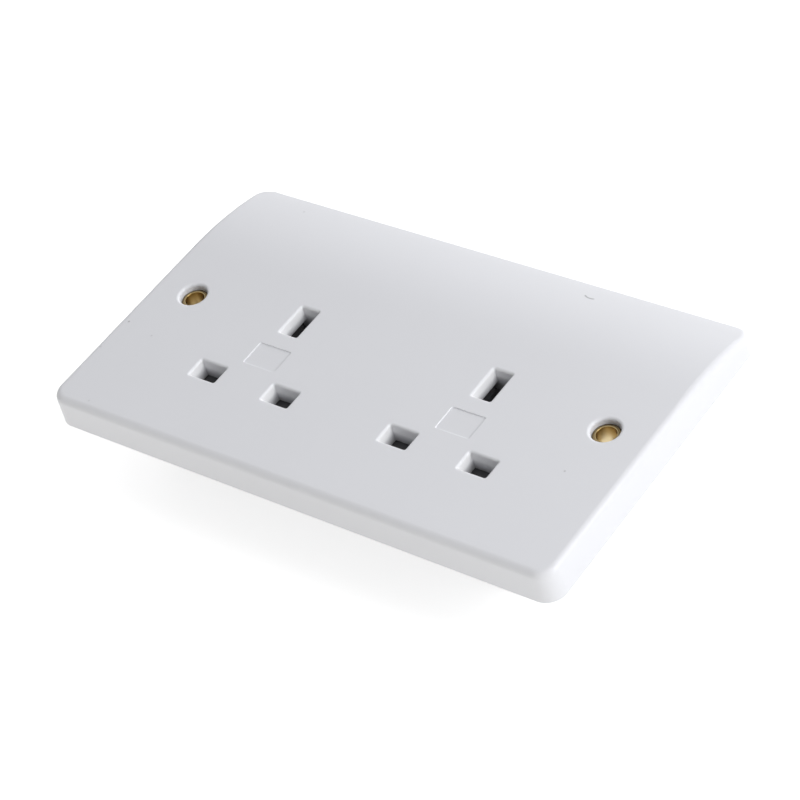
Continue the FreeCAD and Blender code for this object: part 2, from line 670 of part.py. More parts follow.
def contact_cover():
    """Insulating plate over the contacts: pin slots, rails, stops and posts for the springs."""
    body = housing_outline(0, COVER_Z, COVER_TOP)
    raised = []
    for _, outlet_x in OUTLETS:
        raised += shutter_rails(outlet_x) + [spring_post(outlet_x)]
    body = body.multiFuse(raised).removeSplitter()
    cuts = []
    top = SHUTTER_TOP + OVERRUN
    for _, outlet_x in OUTLETS:
        width = LINE_PIN_W + 2 * COVER_SLOT_GAP
        height = PIN_THICK + 2 * COVER_SLOT_GAP
        for side in (-1, 1):
            cuts.append(rounded_slab(outlet_x + side * HALF_PITCH, PIN_LINE_Y, width, height,
                                     APERTURE_CORNER_R, COVER_Z - OVERRUN, COVER_TOP))
        south = RAMP_SOUTH - SHUTTER_TRAVEL - COVER_SLOT_GAP
        north = EARTH_PIN_Y + EARTH_PIN_H / 2 + COVER_SLOT_GAP
        cuts.append(slab(outlet_x - PIN_THICK / 2 - COVER_SLOT_GAP, outlet_x + PIN_THICK / 2 + COVER_SLOT_GAP,
                         south, north, COVER_Z - OVERRUN, COVER_TOP))
    for x, y in HOUSING_SCREWS:
        cuts.append(rod(x, y, COVER_Z - OVERRUN, top, FIX_SHANK_R + FIX_CLEARANCE))
    for _, side in SIDES:
        cuts.append(strap_blank(side, STRAP_GAP, STRAP_T + STRAP_GAP))
    return body.cut(fuse_all(cuts))


# Shutters and their springs

def shutter(outlet_x):
    """Flat slide with two windows, and a ramp under the earth aperture that the earth pin pushes."""
    main = slab(-SHUTTER_HALF_W, SHUTTER_HALF_W, SHUTTER_SOUTH, MAIN_NORTH, SHUTTER_Z, SHUTTER_TOP)
    neck = slab(-SHUTTER_NECK_HALF_W, SHUTTER_NECK_HALF_W, MAIN_NORTH - OVERRUN, SHUTTER_NORTH,
                SHUTTER_Z, SHUTTER_TOP)
    crest = RAMP_SOUTH + RAMP_CREST
    ramp = yz_prism([(RAMP_SOUTH, RAMP_LOW - RAMP_TOE), (SHUTTER_NORTH, RAMP_LOW - RAMP_TOE),
                     (SHUTTER_NORTH, RAMP_LOW), (crest, RAMP_TOP), (RAMP_SOUTH, RAMP_TOP)],
                    -RAMP_HALF_W, RAMP_HALF_W)
    body = main.multiFuse([neck, ramp]).removeSplitter()
    half_w = LINE_PIN_W / 2 + SHUTTER_WINDOW_GAP
    middle_y = (WINDOW_SOUTH + WINDOW_NORTH) / 2
    cuts = []
    for side in (-1, 1):
        cuts.append(rounded_slab(side * HALF_PITCH, middle_y, 2 * half_w, WINDOW_NORTH - WINDOW_SOUTH,
                                 APERTURE_CORNER_R, SHUTTER_Z - OVERRUN, SHUTTER_TOP + OVERRUN))
    slot_south = SPRING_SOUTH - SPRING_POST_T - SLIDE_GAP
    cuts.append(slab(-SPRING_SLOT_HALF_W, SPRING_SLOT_HALF_W, slot_south, SPRING_NORTH,
                     SHUTTER_Z - OVERRUN, SHUTTER_TOP + OVERRUN))
    above_ramp = yz_prism([(crest, RAMP_TOP), (SHUTTER_NORTH, RAMP_LOW), (SHUTTER_NORTH + OVERRUN, RAMP_LOW),
                           (SHUTTER_NORTH + OVERRUN, RAMP_TOP + OVERRUN), (crest, RAMP_TOP + OVERRUN)],
                          -RAMP_HALF_W, RAMP_HALF_W)
    body = body.cut(fuse_all(cuts + [above_ramp]))
    body.translate(V(outlet_x, 0, 0))
    return body


def shutter_spring(outlet_x):
    """Coil of round wire between its post and the ramp's back, lying along Y."""
    height = SPRING_NORTH - SPRING_SOUTH - SPRING_WIRE
    pitch = height / SPRING_TURNS
    helix = Part.makeHelix(pitch, height, SPRING_R)
    tangent = V(0, 2 * math.pi * SPRING_R, pitch)
    section = Part.Wire(Part.makeCircle(SPRING_WIRE / 2, V(SPRING_R, 0, 0), tangent))
    coil = Part.Wire(helix).makePipeShell([section], True, True)
    coil.rotate(V(0, 0, 0), V(1, 0, 0), -90)
    coil.translate(V(outlet_x, SPRING_SOUTH + SPRING_WIRE / 2, SPRING_Z))
    return coil


# Contacts, strips, terminals and straps

def leaf_path(web_z, top_z, side):
    """Middle line of one leaf in the plane across the pin, from the web up to its flared mouth."""
    half = SHEET_T / 2
    foot = side * (CONTACT_FOOT / 2 + half)
    pinch = side * (CONTACT_PINCH / 2 + half)
    mouth = side * (CONTACT_MOUTH / 2 + half)
    return [(foot, web_z + half), (foot, web_z + LEAF_FOOT_H), (pinch, top_z - FLARE_H), (mouth, top_z)]


def line_clip(x, tab_side, strip_y):
    """Clip across a line or neutral pin, its foot turned up against the strip beside it."""
    half = SHEET_T / 2
    web = LINE_WEB_Z + half
    near = leaf_path(LINE_WEB_Z, LINE_CONTACT_TOP, tab_side)
    far = leaf_path(LINE_WEB_Z, LINE_CONTACT_TOP, -tab_side)
    tab = strip_y - tab_side * (STRIP_T / 2 + half) - PIN_LINE_Y
    long_path = [(tab, STRIP_Z + STRIP_H - TAB_SHORTFALL), (tab, web)] + far
    x0 = x - CONTACT_W / 2
    x1 = x + CONTACT_W / 2
    near[0] = (near[0][0], web)
    body = yz_strip(long_path, x0, x1).fuse(yz_strip(near, x0, x1)).removeSplitter()
    body.translate(V(0, PIN_LINE_Y, 0))
    return body


def earth_clip(x):
    """Clip across the earth pin with leaves to its left and right, and a tab up against the strip."""
    half = SHEET_T / 2
    web = EARTH_WEB_Z + half
    left = leaf_path(EARTH_WEB_Z, EARTH_CONTACT_TOP, -1)
    right = leaf_path(EARTH_WEB_Z, EARTH_CONTACT_TOP, 1)
    y0 = EARTH_PIN_Y - EARTH_CONTACT_W / 2
    leaves = strip_face(left[::-1] + right, SHEET_T, SHEET_BEND_R, lambda px, pz: V(px, y0, pz))
    body = leaves.extrude(V(0, EARTH_CONTACT_W, 0))
    tab = EARTH_STRIP_Y - STRIP_T / 2 - half
    foot = [(EARTH_PIN_Y, web), (tab, web), (tab, STRIP_Z + STRIP_H - TAB_SHORTFALL)]
    reach = CONTACT_FOOT / 2 + half - SHEET_BEND_R
    body = body.fuse(yz_strip(foot, -reach, reach)).removeSplitter()
    body.translate(V(x, 0, 0))
    return body


def strip_paths():
    """Middle line of each strip in plan."""
    end = OUTLET_SPACING / 2 - HALF_PITCH + CONTACT_W / 2 + STRIP_END
    leg_end = TERMINAL_Y + TERMINAL_L / 2 - LEG_SETBACK
    earth_end = STRAP_TAB_X + STRAP_TAB_W / 2
    return {
        "line_busbar": [(-end, LINE_STRIP_Y), (LEG_X, LINE_STRIP_Y), (LEG_X, leg_end)],
        "neutral_busbar": [(end, NEUTRAL_STRIP_Y), (-LEG_X, NEUTRAL_STRIP_Y), (-LEG_X, leg_end)],
        "earth_busbar": [(-earth_end, EARTH_STRIP_Y), (earth_end, EARTH_STRIP_Y)],
    }


def terminal(x, y):
    """Brass block with a square way for the conductors along Y and a tapped hole from the rear."""
    block = rounded_slab(x, y, TERMINAL_W, TERMINAL_L, TERMINAL_CORNER_R,
                         TERMINAL_Z, TERMINAL_Z + TERMINAL_H)
    way = rounded_slab(0, 0, WIRE_WAY, WIRE_WAY, WIRE_WAY_CORNER_R, -TERMINAL_L, TERMINAL_L)
    way.rotate(V(0, 0, 0), V(1, 0, 0), 90)
    way.translate(V(x, y, WIRE_WAY_Z))
    hole = rod(x, y, TERMINAL_Z - OVERRUN, WIRE_WAY_Z, SCREW_SHANK_R + THREAD_GAP)
    return block.cut(way).cut(hole)


def terminal_screw(x, y):
    """Cheese-head screw, backed out until its tip is level with the floor of the conductor way."""
    tip = WIRE_WAY_Z - WIRE_WAY / 2 - SCREW_STOP
    head_low = SCREW_SINK
    head_top = head_low + SCREW_HEAD_T
    head = rod(x, y, head_low, head_top, SCREW_HEAD_R)
    body = head.fuse(rod(x, y, head_top, tip, SCREW_SHANK_R)).removeSplitter()
    reach = SCREW_HEAD_R + OVERRUN
    slot = slab(x - reach, x + reach, y - SCREW_SLOT_W / 2, y + SCREW_SLOT_W / 2,
                head_low - OVERRUN, head_low + SCREW_SLOT_D)
    body = body.cut(slot)
    ends = [e for e in body.Edges if e.BoundBox.ZMin > tip - 0.001]
    return body.makeChamfer(SCREW_POINT, ends)


def strap_blank(side, grow, height):
    """Flat part of an earth strap, from the eyelet to its turned-down tab, grown by grow all round."""
    top = STRAP_Z + height
    end_x = side * FIXING_SPACING / 2
    tab_x = side * STRAP_TAB_X
    tab_y = EARTH_STRIP_Y + STRIP_T / 2 + STRAP_T
    bar = upright_room([(end_x, FIXING_Y), (tab_x, tab_y - STRAP_W / 2)], STRAP_W + 2 * grow, STRAP_Z, top)
    eye = rod(end_x, FIXING_Y, STRAP_Z, top, STRAP_END_R + grow)
    half = STRAP_TAB_W / 2 + grow
    head = slab(tab_x - half, tab_x + half, tab_y - STRAP_W - grow, tab_y + grow, STRAP_Z, top)
    trim = slab(tab_x - half, tab_x + half, tab_y + grow, tab_y + STRAP_W, STRAP_Z, top)
    return bar.multiFuse([eye, head]).cut(trim).removeSplitter()


def earth_strap(side):
    flat = strap_blank(side, 0, STRAP_T)
    tab_x = side * STRAP_TAB_X
    face_y = EARTH_STRIP_Y + STRIP_T / 2
    tab = slab(tab_x - STRAP_TAB_W / 2, tab_x + STRAP_TAB_W / 2, face_y, face_y + STRAP_T,
               STRAP_Z - STRAP_TAB_DROP, STRAP_Z + STRAP_T)
    hole = rod(side * FIXING_SPACING / 2, FIXING_Y, STRAP_Z - OVERRUN, STRAP_Z + STRAP_T + OVERRUN,
               EYELET_BARREL_R + THREAD_GAP)
    strap = flat.fuse(tab).removeSplitter().cut(hole)
    outer = [e for e in strap.Edges
             if e.BoundBox.ZMin > STRAP_Z + STRAP_T - 0.001 and e.BoundBox.YMin > face_y + STRAP_T - 0.001]
    return strap.makeFillet(STRAP_BEND_R, outer)


def housing_screw(x, y):
    """Pan-head self-tapping screw from the rear, through housing and cover into the plate's pillar."""
    seat = FIX_RECESS + FIX_HEAD_T
    head = rod(x, y, FIX_RECESS, seat, FIX_HEAD_R)
    body = head.fuse(rod(x, y, seat, COVER_TOP + FIX_GRIP, FIX_SHANK_R)).removeSplitter()
    cross = ((FIX_CROSS_REACH, FIX_CROSS_HALF_W), (FIX_CROSS_HALF_W, FIX_CROSS_REACH))
    for half_x, half_y in cross:
        body = body.cut(slab(x - half_x, x + half_x, y - half_y, y + half_y, 0, FIX_RECESS + FIX_CROSS_D))
    rim = [e for e in body.Edges
           if abs(e.BoundBox.ZMax - FIX_RECESS) < 0.001 and abs(e.BoundBox.XLength - 2 * FIX_HEAD_R) < 0.01]
    return body.makeFillet(FIX_HEAD_ROUND, rim)


def all_nodes():
    nodes = {"faceplate": faceplate(), "rear_housing": rear_housing(), "contact_cover": contact_cover()}
    for name, side in SIDES:
        nodes["eyelet_" + name] = eyelet(side)
        nodes["earth_strap_" + name] = earth_strap(side)
    for name, x in OUTLETS:
        nodes["shutter_" + name] = shutter(x)
        nodes["shutter_spring_" + name] = shutter_spring(x)
        nodes["line_contact_" + name] = line_clip(x + HALF_PITCH, -1, LINE_STRIP_Y)
        nodes["neutral_contact_" + name] = line_clip(x - HALF_PITCH, 1, NEUTRAL_STRIP_Y)
        nodes["earth_contact_" + name] = earth_clip(x)
    for name, path in strip_paths().items():
        face = strip_face(path, STRIP_T, STRIP_BEND_R, lambda px, py: V(px, py, STRIP_Z))
        nodes[name] = face.extrude(V(0, 0, STRIP_H))
    for name, x, y, _ in TERMINALS:
        nodes[name] = terminal(x, y)
        nodes[name.replace("terminal", "terminal_screw")] = terminal_screw(x, y)
    nodes["housing_screws"] = Part.makeCompound([housing_screw(x, y) for x, y in HOUSING_SCREWS])
    return nodes


os.makedirs("parts", exist_ok=True)
for name, shape in all_nodes().items():
    solids = shape.Solids
    shape.exportStep("parts/" + name + ".step")
    box = shape.BoundBox
    print(name, len(solids), shape.isValid(), round(shape.Volume, 1),
          [round(v, 2) for v in (box.XMin, box.XMax, box.YMin, box.YMax, box.ZMin, box.ZMax)])
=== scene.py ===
import json
from math import cos, pi, radians, sin

import bpy
import numpy as np
from mathutils import Matrix, Vector


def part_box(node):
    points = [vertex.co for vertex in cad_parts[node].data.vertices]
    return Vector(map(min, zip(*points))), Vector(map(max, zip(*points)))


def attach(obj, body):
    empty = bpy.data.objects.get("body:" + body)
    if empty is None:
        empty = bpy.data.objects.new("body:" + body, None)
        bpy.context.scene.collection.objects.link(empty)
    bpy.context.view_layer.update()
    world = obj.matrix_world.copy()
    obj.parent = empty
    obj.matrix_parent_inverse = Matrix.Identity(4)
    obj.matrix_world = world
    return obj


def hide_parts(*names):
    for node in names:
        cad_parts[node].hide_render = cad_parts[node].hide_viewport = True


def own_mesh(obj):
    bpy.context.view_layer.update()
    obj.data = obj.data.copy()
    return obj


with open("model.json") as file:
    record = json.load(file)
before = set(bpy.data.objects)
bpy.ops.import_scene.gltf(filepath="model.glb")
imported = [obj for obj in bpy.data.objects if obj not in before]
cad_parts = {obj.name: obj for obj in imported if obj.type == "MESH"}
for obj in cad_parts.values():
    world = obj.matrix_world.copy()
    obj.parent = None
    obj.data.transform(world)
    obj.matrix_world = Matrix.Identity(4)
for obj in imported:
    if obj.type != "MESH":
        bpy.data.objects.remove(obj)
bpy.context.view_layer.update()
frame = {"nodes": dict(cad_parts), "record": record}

# Camera, solved from the corners of the six apertures and the two fixing holes
LENS_MM = 120.96
SENSOR_MM = 36.0
CAMERA_PLACE = Vector((0.34741, -0.31141, 0.43698))
CAMERA_FORWARD = Vector((-0.55135, 0.49267, -0.67327))
CAMERA_UP = Vector((-0.26707, 0.66032, 0.70189))
CAMERA_CLIP = 0.01

# Light levels: the even sky, what it adds towards +X and +Y, the floor's own tone and its glow to the camera
SKY_LEVEL = 0.1
SKY_SIDES = (
    ((1, 0, 0), 0.53),
    ((0, 1, 0), 1.25),
)
FLOOR_ALBEDO = 0.85
FLOOR_GLOW = 0.78
FLOOR_SIZE = 6.0
FLOOR_SINK = 0.0002
LAMP_DISTANCE = 3.0

# Noise in every finish: the span of its values that is used, and its detail for tones, roughness and grain
NOISE_SPAN = (0.3, 0.7)
TONE_DETAIL = 4
ROUGH_DETAIL = 3
GRAIN_DETAIL = 2
ROUGH_TO_TONE = 7

# Plate: two close tones of cool white, satin
PLATE_TONES = ((0.790, 0.799, 0.838), (0.798, 0.807, 0.846))
PLATE_TONE_SCALE = 35
PLATE_TONE_DETAIL = 3
PLATE_ROUGHNESS = (0.3, 0.32)
PLATE_ROUGH_SCALE = 220
PLATE_GRAIN_SCALE = 2600
PLATE_GRAIN_HEIGHT = 2e-7

# Pin apertures: painted light, paler near their mouths, then painted shade, darker down the walls, with the
# heights at which each begins and ends
# painted light near the aperture mouths
LIP_PAINTED_LIGHT = (0.925, 0.93, 0.95)
LIP_TOP = (0.02574, 0.0255)
LIP_BOTTOM = (0.0238, 0.0222)
# painted shade down the aperture walls
WELL_PAINTED_SHADE = (0.33, 0.33, 0.34)
WELL_TOP = 0.0237
WELL_BOTTOM = 0.0208
WELLS_X = (-0.046, 0.046)
WELLS_Y = (-0.026, 0.010)

# Small marks that lie on the plate: specks of dust by place and strength, and a fine hair bent into an arc
SPECK_R = 0.0004
SPECK_COLOUR = (0.36, 0.36, 0.38)
SPECKS = (
    (-0.0546, 0.0371, 0.0231, 0.5),
    (-0.0698, -0.0144, 0.026, 1.0),
    (-0.0609, -0.0162, 0.026, 0.35),
    (-0.0709, -0.0242, 0.026, 0.5),
    (-0.0612, -0.0400, 0.026, 0.3),
    (0.0588, -0.0146, 0.026, 0.6),
    (0.0729, 0.0221, 0.0177, 0.3),
)
HAIR_CENTRE = (0.0320, 0.0392)
HAIR_R = 0.00275
HAIR_SPAN = (-134, -64)
HAIR_WIDTH = 0.0003
ARC_FADE = 0.8

# Eyelets: the rings round their axes, seen from the front, and their tones: brass down the bore with painted
# light at its foot, a painted highlight on the bead and painted shade on the flange
EYELET_X = 0.0603
EYELET_Y = -0.0004
BEAD_R = 0.00262
BEAD_WIDTH = 0.00018
BEAD_CORE = 0.00006
FLANGE_IN_R = 0.0028
FLANGE_OUT_R = 0.003
BORE_TONES = ((0.27, 0.18, 0.065), (0.38, 0.265, 0.105))
# painted light: the bore is paler towards its foot
BORE_FOOT_PAINTED_LIGHT = (0.62, 0.51, 0.31)
BORE_TOP = 0.0240
BORE_FOOT = 0.0208
# painted highlight: a paler ring along the bead
BEAD_PAINTED_HIGHLIGHT = (0.30, 0.245, 0.14)
BEAD_SHINE = 0.2
# painted shade: the flange darker, for the shaded counterbore wall it reflects
FLANGE_PAINTED_SHADE = (0.18, 0.14, 0.08)
EYELET_TONE_SCALE = 700
EYELET_ROUGHNESS = (0.28, 0.36)
EYELET_ROUGH_SCALE = 4900
EYELET_GRAIN_SCALE = 3000
EYELET_GRAIN_HEIGHT = 3e-6

# Surfaces of the other pieces: metal or not, scale of the two tones, scale and height of the grain
MOULDED = (0, 60, 1500, 2e-5)
SMOOTH_MOULDED = (0, 60, 1500, 1e-5)
ROLLED = (1, 200, 3000, 8e-6)
DRAWN = (1, 200, 3000, 5e-6)

# Their finishes by slot: material, dark and light tone, roughness from and to, surface
PLAIN_FINISHES = {
    "housing": ("housing_black", (0.02, 0.02, 0.021), (0.035, 0.035, 0.037), (0.5, 0.65), MOULDED),
    "cover": ("cover_grey", (0.06, 0.06, 0.063), (0.08, 0.08, 0.084), (0.5, 0.65), MOULDED),
    "shutter": ("shutter_dark", (0.045, 0.045, 0.048), (0.06, 0.06, 0.064), (0.4, 0.5), SMOOTH_MOULDED),
    "contact_brass": ("contact_brass", (0.62, 0.44, 0.2), (0.75, 0.57, 0.3), (0.25, 0.4), ROLLED),
    "terminal_screw": ("screw_steel", (0.5, 0.48, 0.42), (0.62, 0.6, 0.54), (0.3, 0.45), ROLLED),
    "housing_screw": ("zinc_steel", (0.5, 0.5, 0.5), (0.62, 0.62, 0.63), (0.3, 0.45), ROLLED),
    "spring_wire": ("spring_steel", (0.45, 0.45, 0.46), (0.6, 0.6, 0.61), (0.25, 0.4), DRAWN),
}

# Raised letters on the rear housing's upper walls, under the wire entries: name, letter, place of its middle
MARK_HEIGHT = 0.0046
MARK_RISE = 0.0003
MARK_SINK = 0.0001
MARK_Z = 0.0042
SHOULDER_Y = -0.008
UPPER_WALL_Y = 0.019
MARKS = (
    ("mark_line", "L", (0.0486, SHOULDER_Y, MARK_Z)),
    ("mark_neutral", "N", (-0.0486, SHOULDER_Y, MARK_Z)),
    ("mark_earth_left", "E", (-0.008, UPPER_WALL_Y, MARK_Z)),
    ("mark_earth_right", "E", (0.008, UPPER_WALL_Y, MARK_Z)),
)

# Coil springs behind the shutters: their wire and their turns
WIRE_R = 0.000175
WIRE_SIDES = 10
COIL_TURNS = 6
COIL_STEPS = 24

# Far lamps: name, bearing, height above the floor and width in degrees, strength, colour, seen in gloss.
# The front one skims the floor, so in gloss it would only glare on the face, seen from behind.
NEUTRAL = (1.0, 1.0, 1.0)
WARM = (1.0, 0.98, 0.92)
LAMPS = (
    ("main", 20, 30, 20, 0.47, NEUTRAL, True),
    ("back", 90, 15, 60, 0.38, NEUTRAL, True),
    ("front", 270, 1.5, 6, 1.23, WARM, False),
)

# Near panels on the right, so that the face is a little brighter at that end: name, place, size, watts
PANELS = (
    ("right_low", (0.7, 0.0, 0.2), 0.5, 0.35),
    ("right_high", (0.45, 0.12, 0.42), 0.3, 1.06),
)


def aimed(place, forward, up):
    """Matrix of an object at place that looks along forward, with its own -Z and Y axes."""
    right = forward.cross(up).normalized()
    true_up = right.cross(forward).normalized()
    turn = Matrix((right, true_up, -forward.normalized())).transposed()
    return Matrix.Translation(place) @ turn.to_4x4()


def add_camera():
    """Camera where the picture was taken from."""
    data = bpy.data.cameras.new("camera")
    data.sensor_width = SENSOR_MM
    data.lens = LENS_MM
    data.clip_start = CAMERA_CLIP
    camera = bpy.data.objects.new("camera", data)
    bpy.context.scene.collection.objects.link(camera)
    camera.matrix_world = aimed(CAMERA_PLACE, CAMERA_FORWARD, CAMERA_UP)
    bpy.context.scene.camera = camera


def add_lamp(name, bearing, height, width, strength, colour, in_gloss):
    """Soft lamp, far away: bearing from +X towards +Y and height above the floor, in degrees."""
    data = bpy.data.lights.new(name, "SUN")
    data.angle = radians(width)
    data.energy = strength
    data.color = colour
    lamp = bpy.data.objects.new(name, data)
    lamp.visible_glossy = in_gloss
    bpy.context.scene.collection.objects.link(lamp)
    flat = cos(radians(height))
    towards = Vector((flat * cos(radians(bearing)), flat * sin(radians(bearing)), sin(radians(height))))
    side = Vector((-sin(radians(bearing)), cos(radians(bearing)), 0.0))
    lamp.matrix_world = aimed(towards * LAMP_DISTANCE, -towards, side)


def add_panel(name, place, size, watts):
    """Square lamp at a place, facing the middle of the object."""
    where = Vector(place)
    data = bpy.data.lights.new(name, "AREA")
    data.shape = "SQUARE"
    data.size = size
    data.energy = watts
    lamp = bpy.data.objects.new(name, data)
    bpy.context.scene.collection.objects.link(lamp)
    lamp.matrix_world = aimed(where, -where.normalized(), Vector((0, 0, 1)))


def node(tree, kind, **values):
    """New node of a kind, with its settings."""
    made = tree.nodes.new(kind)
    for key, value in values.items():
        setattr(made, key, value)
    return made


def maths(tree, operation, first, second=None):
    """Result of a sum on one or two values, each a socket or a number."""
    made = node(tree, "ShaderNodeMath", operation=operation)
    for place, value in enumerate((first, second)):
        if isinstance(value, (int, float)):
            made.inputs[place].default_value = value
        elif value is not None:
            tree.links.new(value, made.inputs[place])
    return made.outputs[0]


def seen_directly(tree):
    """1 for what the camera sees, also through glass or in gloss, and 0 for the rest of the light."""
    path = node(tree, "ShaderNodeLightPath")
    through = maths(tree, "MAXIMUM", path.outputs["Is Camera Ray"], path.outputs["Is Transmission Ray"])
    return maths(tree, "MAXIMUM", through, path.outputs["Is Glossy Ray"])


def sky_strength(tree):
    """The even sky, plus what each side adds: its level times the cosine to its direction, if above 0."""
    direction = node(tree, "ShaderNodeTexCoord").outputs["Generated"]
    total = SKY_LEVEL
    for side, level in SKY_SIDES:
        dot = node(tree, "ShaderNodeVectorMath", operation="DOT_PRODUCT")
        tree.links.new(direction, dot.inputs[0])
        dot.inputs[1].default_value = side
        lit = maths(tree, "MAXIMUM", dot.outputs["Value"], 0.0)
        total = maths(tree, "ADD", maths(tree, "MULTIPLY", lit, level), total)
    return total


def add_world():
    """White to the camera and in reflections, and a soft sky for the rest of the light."""
    world = bpy.data.worlds.new("studio")
    bpy.context.scene.world = world
    world.use_nodes = True
    tree = world.node_tree
    tree.nodes.clear()
    white = node(tree, "ShaderNodeBackground")
    white.inputs["Color"].default_value = (1, 1, 1, 1)
    sky = node(tree, "ShaderNodeBackground")
    sky.inputs["Color"].default_value = (1, 1, 1, 1)
    tree.links.new(sky_strength(tree), sky.inputs["Strength"])
    mix = node(tree, "ShaderNodeMixShader")
    out = node(tree, "ShaderNodeOutputWorld")
    tree.links.new(seen_directly(tree), mix.inputs[0])
    tree.links.new(sky.outputs[0], mix.inputs[1])
    tree.links.new(white.outputs[0], mix.inputs[2])
    tree.links.new(mix.outputs[0], out.inputs["Surface"])


def add_floor():
    """Pale floor under the object: it takes the shadow, and glows a little to the camera and in gloss."""
    half = FLOOR_SIZE / 2
    mesh = bpy.data.meshes.new("floor")
    corners = [(-half, -half, 0), (half, -half, 0), (half, half, 0), (-half, half, 0)]
    mesh.from_pydata(corners, [], [(0, 1, 2, 3)])
    floor = bpy.data.objects.new("floor", mesh)
    bpy.context.scene.collection.objects.link(floor)
    floor.location.z = -FLOOR_SINK
    material = bpy.data.materials.new("floor_white")
    material.use_nodes = True
    tree = material.node_tree
    tree.nodes.clear()
    diffuse = node(tree, "ShaderNodeBsdfDiffuse")
    diffuse.inputs["Color"].default_value = (FLOOR_ALBEDO, FLOOR_ALBEDO, FLOOR_ALBEDO, 1)
    glow = node(tree, "ShaderNodeEmission")
    tree.links.new(maths(tree, "MULTIPLY", seen_directly(tree), FLOOR_GLOW), glow.inputs["Strength"])
    both = node(tree, "ShaderNodeAddShader")
    out = node(tree, "ShaderNodeOutputMaterial")
    tree.links.new(diffuse.outputs[0], both.inputs[0])
    tree.links.new(glow.outputs[0], both.inputs[1])
    tree.links.new(both.outputs[0], out.inputs["Surface"])
    mesh.materials.append(material)


def noise(tree, where, scale, detail):
    """Even noise of a scale and a detail."""
    made = node(tree, "ShaderNodeTexNoise")
    made.inputs["Scale"].default_value = scale
    made.inputs["Detail"].default_value = detail
    tree.links.new(where, made.inputs["Vector"])
    return made.outputs["Fac"]


def spread(tree, value, low, high, start=NOISE_SPAN[0], end=NOISE_SPAN[1]):
    """Maps a value from start to end onto low to high, and holds it there beyond them."""
    made = node(tree, "ShaderNodeMapRange")
    made.inputs["From Min"].default_value = start
    made.inputs["From Max"].default_value = end
    made.inputs["To Min"].default_value = low
    made.inputs["To Max"].default_value = high
    tree.links.new(value, made.inputs["Value"])
    return made.outputs["Result"]


def blend(tree, share, first, second):
    """Colour from first to second as share goes from 0 to 1; each is a socket or three numbers."""
    made = node(tree, "ShaderNodeMix", data_type="RGBA")
    colours = [socket for socket in made.inputs if socket.type == "RGBA"]
    for socket, colour in zip(colours, (first, second)):
        if isinstance(colour, tuple):
            socket.default_value = (*colour, 1)
        else:
            tree.links.new(colour, socket)
    tree.links.new(share, made.inputs["Factor"])
    return [socket for socket in made.outputs if socket.type == "RGBA"][0]


def blank_material(name, metal):
    """Material with a Principled shader alone: its tree, its shader and its Object coordinates."""
    material = bpy.data.materials.new(name)
    material.use_nodes = True
    tree = material.node_tree
    tree.nodes.clear()
    shader = node(tree, "ShaderNodeBsdfPrincipled")
    shader.inputs["Metallic"].default_value = metal
    out = node(tree, "ShaderNodeOutputMaterial")
    tree.links.new(shader.outputs[0], out.inputs["Surface"])
    where = node(tree, "ShaderNodeTexCoord").outputs["Object"]
    return material, tree, shader, where


def add_grain(tree, shader, where, scale, height):
    """Fine unevenness of a surface, of a scale and a height."""
    bump = node(tree, "ShaderNodeBump")
    bump.inputs["Distance"].default_value = height
    tree.links.new(noise(tree, where, scale, GRAIN_DETAIL), bump.inputs["Height"])
    tree.links.new(bump.outputs["Normal"], shader.inputs["Normal"])


def finish(name, dark, light, roughness, surface):
    """Two tones of one colour, uneven roughness and a fine grain in the surface."""
    metal, tone_scale, grain_scale, grain_height = surface
    material, tree, shader, where = blank_material(name, metal)
    tone = spread(tree, noise(tree, where, tone_scale, TONE_DETAIL), 0, 1)
    tree.links.new(blend(tree, tone, dark, light), shader.inputs["Base Color"])
    rough = spread(tree, noise(tree, where, tone_scale * ROUGH_TO_TONE, ROUGH_DETAIL), *roughness)
    tree.links.new(rough, shader.inputs["Roughness"])
    add_grain(tree, shader, where, grain_scale, grain_height)
    return material


def near_point(tree, where, point, radius):
    """1 at a point, falling to 0 at radius from it."""
    away = node(tree, "ShaderNodeVectorMath", operation="DISTANCE")
    tree.links.new(where, away.inputs[0])
    away.inputs[1].default_value = point
    return spread(tree, away.outputs["Value"], 1, 0, 0, radius)


def split(tree, where):
    """The X, Y and Z of a place."""
    parts = node(tree, "ShaderNodeSeparateXYZ")
    tree.links.new(where, parts.inputs[0])
    return parts.outputs["X"], parts.outputs["Y"], parts.outputs["Z"]


def reach(tree, across, along):
    """Distance from an axis, from the two distances at right angles to it."""
    squares = [maths(tree, "MULTIPLY", value, value) for value in (across, along)]
    return maths(tree, "SQRT", maths(tree, "ADD", *squares))


def near_arc(tree, where, centre, radius, start, end, width):
    """1 on a short arc seen from above, about centre from start to end in degrees, falling to 0 at width."""
    x, y = split(tree, where)[:2]
    across = maths(tree, "SUBTRACT", x, centre[0])
    along = maths(tree, "SUBTRACT", y, centre[1])
    off = maths(tree, "ABSOLUTE", maths(tree, "SUBTRACT", reach(tree, across, along), radius))
    angle = maths(tree, "ARCTAN2", along, across)
    from_middle = maths(tree, "ABSOLUTE", maths(tree, "SUBTRACT", angle, radians((start + end) / 2)))
    half = radians(abs(end - start) / 2)
    on_ring = spread(tree, off, 1, 0, 0, width)
    on_span = spread(tree, from_middle, 1, 0, half * ARC_FADE, half)
    return maths(tree, "MULTIPLY", on_ring, on_span)


def within(tree, value, low, high):
    """1 where the value is between low and high, else 0."""
    above = maths(tree, "GREATER_THAN", value, low)
    return maths(tree, "MULTIPLY", above, maths(tree, "LESS_THAN", value, high))


